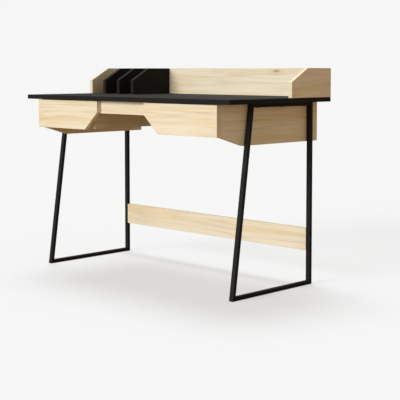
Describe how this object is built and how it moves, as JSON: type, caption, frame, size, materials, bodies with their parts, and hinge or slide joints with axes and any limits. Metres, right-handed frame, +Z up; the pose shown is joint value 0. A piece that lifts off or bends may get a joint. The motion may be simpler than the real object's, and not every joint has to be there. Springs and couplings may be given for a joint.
{
  "type": "writing desk",
  "caption": "Writing desk with a black top on closed steel side frames, a low gallery with letter slots, and drawers with slant-cut fronts under the top.",
  "frame": {"origin": "on the floor, under the middle of the desktop", "axes": "+Z up, +X to the right along the desktop's long side, +Y from the sitter towards the back"},
  "size_m": [1.2, 0.59, 0.86],
  "materials": {
    "black_board": "matt black melamine-faced board with black edging",
    "oak_board": "light oak decor laminate with matching edging, satin",
    "drawer_board": "pale birch drawer board, clear lacquer",
    "hardboard": "smooth brown hardboard",
    "dowel_wood": "fluted beech dowel",
    "black_steel": "fine matt black powder coat",
    "black_screw": "black finished steel",
    "zinc_screw": "bright zinc plate",
    "zinc_steel": "zinc-plated rolled steel",
    "cage_steel": "pressed steel strip",
    "ball_steel": "polished bearing steel"
  },
  "bodies": {
    "desk": {"cabinet_back_panel": "oak_board", "cabinet_dowels": "dowel_wood", "cabinet_runner_screws": "zinc_screw", "desktop": "black_board", "frame_screws": "black_screw", "front_rail": "oak_board", "gallery_back_panel": "oak_board", "gallery_dowels": "dowel_wood", "gallery_left_end": "oak_board", "gallery_right_end": "oak_board", "left_frame_floor_runner": "black_steel", "left_frame_front_leg": "black_steel", "left_frame_rear_leg": "black_steel", "left_frame_top_bar": "black_steel", "left_inner_cabinet_runner": "zinc_steel", "left_outer_cabinet_runner": "zinc_steel", "left_partition": "oak_board", "left_side_panel": "oak_board", "letter_divider_1": "black_board", "letter_divider_2": "black_board", "letter_divider_3": "black_board", "right_frame_floor_runner": "black_steel", "right_frame_front_leg": "black_steel", "right_frame_rear_leg": "black_steel", "right_frame_top_bar": "black_steel", "right_inner_cabinet_runner": "zinc_steel", "right_outer_cabinet_runner": "zinc_steel", "right_partition": "oak_board", "right_side_panel": "oak_board", "stretcher": "oak_board", "stretcher_bolts": "black_screw"},
    "left_drawer": {"left_drawer_back": "drawer_board", "left_drawer_bottom": "hardboard", "left_drawer_dowels": "dowel_wood", "left_drawer_front": "oak_board", "left_drawer_inner_side": "drawer_board", "left_drawer_outer_side": "drawer_board", "left_drawer_runner_screws": "zinc_screw", "left_inner_drawer_runner": "zinc_steel", "left_outer_drawer_runner": "zinc_steel"},
    "left_ball_cages": {"left_inner_ball_cage": "cage_steel", "left_inner_bearing_balls": "ball_steel", "left_outer_ball_cage": "cage_steel", "left_outer_bearing_balls": "ball_steel"},
    "right_drawer": {"right_drawer_back": "drawer_board", "right_drawer_bottom": "hardboard", "right_drawer_dowels": "dowel_wood", "right_drawer_front": "oak_board", "right_drawer_inner_side": "drawer_board", "right_drawer_outer_side": "drawer_board", "right_drawer_runner_screws": "zinc_screw", "right_inner_drawer_runner": "zinc_steel", "right_outer_drawer_runner": "zinc_steel"},
    "right_ball_cages": {"right_inner_ball_cage": "cage_steel", "right_inner_bearing_balls": "ball_steel", "right_outer_ball_cage": "cage_steel", "right_outer_bearing_balls": "ball_steel"}
  },
  "joints": [
    {"name": "left_drawer_slide", "type": "slide", "parent": "desk", "child": "left_drawer", "axis": [0, -1, 0], "range_m": [0, 0.3]},
    {"name": "left_cage_slide", "type": "slide", "parent": "desk", "child": "left_ball_cages", "axis": [0, -1, 0], "range_m": [0, 0.15]},
    {"name": "right_drawer_slide", "type": "slide", "parent": "desk", "child": "right_drawer", "axis": [0, -1, 0], "range_m": [0, 0.3]},
    {"name": "right_cage_slide", "type": "slide", "parent": "desk", "child": "right_ball_cages", "axis": [0, -1, 0], "range_m": [0, 0.15]}
  ],
  "couplings": [
    {"joint": "left_cage_slide", "follows": "left_drawer_slide", "ratio": 0.5},
    {"joint": "right_cage_slide", "follows": "right_drawer_slide", "ratio": 0.5}
  ]
}
